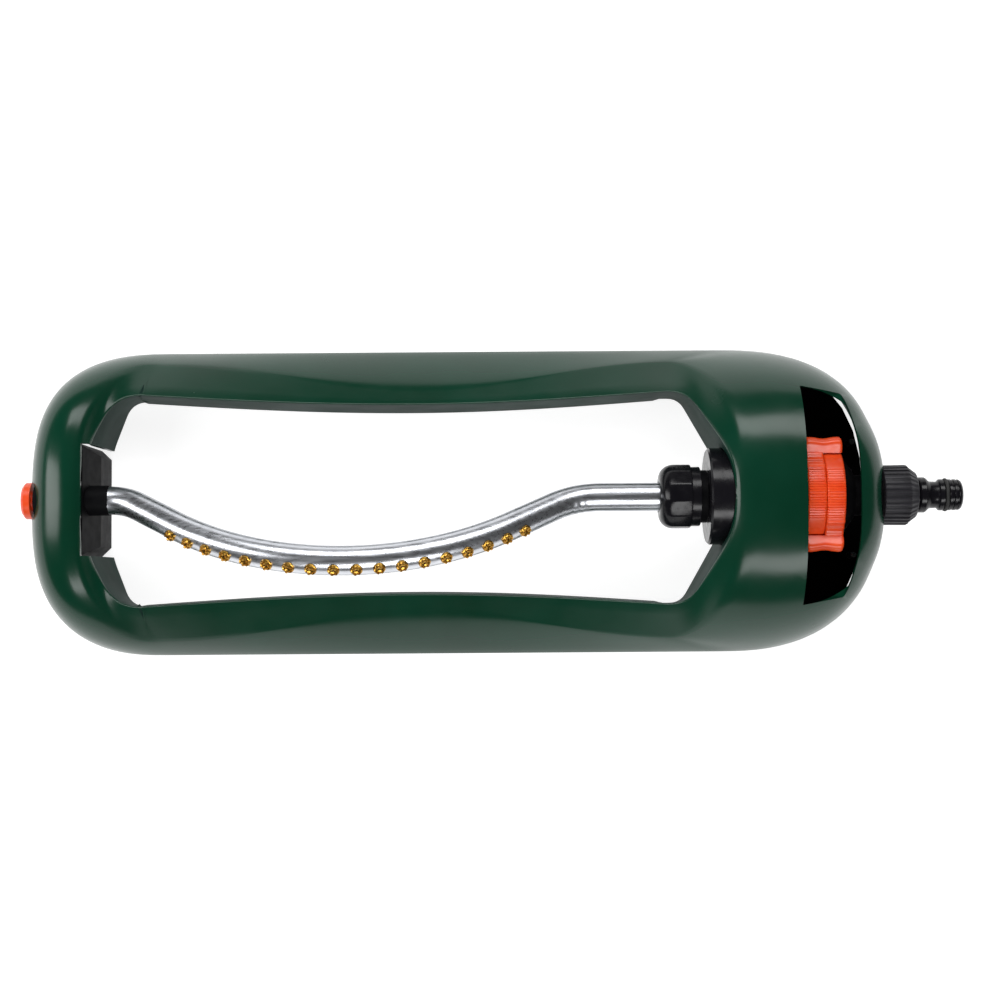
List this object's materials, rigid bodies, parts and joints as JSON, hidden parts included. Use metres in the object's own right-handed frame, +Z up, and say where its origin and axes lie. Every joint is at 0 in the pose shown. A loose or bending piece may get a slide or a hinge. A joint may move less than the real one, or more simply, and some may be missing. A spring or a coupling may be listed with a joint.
{
  "type": "oscillating sprinkler",
  "caption": "Oscillating garden sprinkler: a moulded frame with an arched aluminium spray tube of brass nozzles that swings on a water motor, with a hose tail inlet",
  "frame": {"origin": "middle of the bounding box on the ground", "axes": "+X along the spray tube toward the inlet, +Y to the far side, +Z up; the tube leans toward -Y at rest"},
  "size_m": [0.4812, 0.162, 0.0878],
  "materials": {
    "green_shell": "moulded dark green ABS with a gloss surface",
    "black_plastic": "black moulded acetal, satin",
    "black_gloss": "black moulded ABS, glossy",
    "grey_plastic": "dark grey moulded nylon, matt",
    "orange_plastic": "orange moulded ABS, half gloss",
    "gear_plastic": "natural acetal, satin",
    "turbine_plastic": "moulded acetal, satin",
    "filter_plastic": "natural polypropylene, satin",
    "aluminium": "drawn aluminium tube, polished",
    "brass": "turned brass",
    "steel": "stainless steel",
    "rubber": "black nitrile rubber"
  },
  "bodies": {
    "base": {"frame_shell": "green_shell", "motor_cover": "black_plastic", "cover_screws": "steel", "end_bearing": "black_plastic", "motor_flange": "black_gloss", "flange_screws": "steel", "motor_case": "black_plastic", "gear_plate": "gear_plastic", "main_axle": "steel", "lay_axle": "steel", "jet_plate": "gear_plastic", "trip_spring": "steel", "spindle_seal": "rubber", "inlet_filter": "filter_plastic", "inlet_washer": "rubber", "hose_tail": "black_gloss", "tail_seal": "rubber"},
    "tube": {"spray_tube": "aluminium", "nozzle_01": "brass", "nozzle_02": "brass", "nozzle_03": "brass", "nozzle_04": "brass", "nozzle_05": "brass", "nozzle_06": "brass", "nozzle_07": "brass", "nozzle_08": "brass", "nozzle_09": "brass", "nozzle_10": "brass", "nozzle_11": "brass", "nozzle_12": "brass", "nozzle_13": "brass", "nozzle_14": "brass", "nozzle_15": "brass", "nozzle_16": "brass", "nozzle_17": "brass", "nozzle_18": "brass", "tube_nut": "black_gloss", "tube_seal": "rubber", "drive_spindle": "black_plastic", "output_gear": "gear_plastic", "end_trunnion": "black_plastic"},
    "cap": {"cleaning_cap": "orange_plastic", "cleaning_needle": "steel", "cap_seal": "rubber"},
    "second_lay": {"second_lay_gear": "gear_plastic"},
    "middle": {"middle_gear": "gear_plastic"},
    "first_lay": {"first_lay_gear": "gear_plastic"},
    "turbine": {"turbine_wheel": "turbine_plastic"},
    "valve": {"reversing_valve": "turbine_plastic"},
    "far_ring": {"far_limit_ring": "orange_plastic"},
    "near_ring": {"near_limit_ring": "orange_plastic"},
    "connector": {"connector_nut": "grey_plastic"}
  },
  "joints": [
    {"name": "tube_swing", "type": "hinge", "parent": "base", "child": "tube", "pos_m": [0, 0, 0.041], "axis": [1, 0, 0], "range_deg": [-85, 5]},
    {"name": "second_lay_turn", "type": "hinge", "parent": "base", "child": "second_lay", "pos_m": [0.147, 0.01008, 0.041], "axis": [1, 0, 0], "range_deg": [-12, 172]},
    {"name": "middle_turn", "type": "hinge", "parent": "base", "child": "middle", "pos_m": [0.152, 0, 0.041], "axis": [1, 0, 0], "range_deg": [-342, 22]},
    {"name": "first_lay_turn", "type": "hinge", "parent": "base", "child": "first_lay", "pos_m": [0.157, 0.01008, 0.041], "axis": [1, 0, 0], "range_deg": [-42, 682]},
    {"name": "turbine_turn", "type": "hinge", "parent": "base", "child": "turbine", "pos_m": [0.167, 0, 0.041], "axis": [1, 0, 0], "range_deg": [-1362, 82]},
    {"name": "valve_tilt", "type": "hinge", "parent": "base", "child": "valve", "pos_m": [0.174, 0, 0.041], "axis": [1, 0, 0], "range_deg": [-8, 8]},
    {"name": "far_ring_turn", "type": "hinge", "parent": "base", "child": "far_ring", "pos_m": [0.163, 0, 0.041], "axis": [1, 0, 0], "range_deg": [-8, 40]},
    {"name": "near_ring_turn", "type": "hinge", "parent": "base", "child": "near_ring", "pos_m": [0.173, 0, 0.041], "axis": [1, 0, 0], "range_deg": [-40, 8]},
    {"name": "connector_turn", "type": "hinge", "parent": "base", "child": "connector", "pos_m": [0.207, 0, 0.041], "axis": [1, 0, 0], "continuous": true},
    {"name": "cap_pull", "type": "slide", "parent": "tube", "child": "cap", "axis": [-1, 0, 0], "range_m": [0, 0.04]}
  ],
  "couplings": [
    {"joint": "second_lay_turn", "follows": "tube_swing", "ratio": -2},
    {"joint": "middle_turn", "follows": "tube_swing", "ratio": 4},
    {"joint": "first_lay_turn", "follows": "tube_swing", "ratio": -8},
    {"joint": "turbine_turn", "follows": "tube_swing", "ratio": 16}
  ]
}
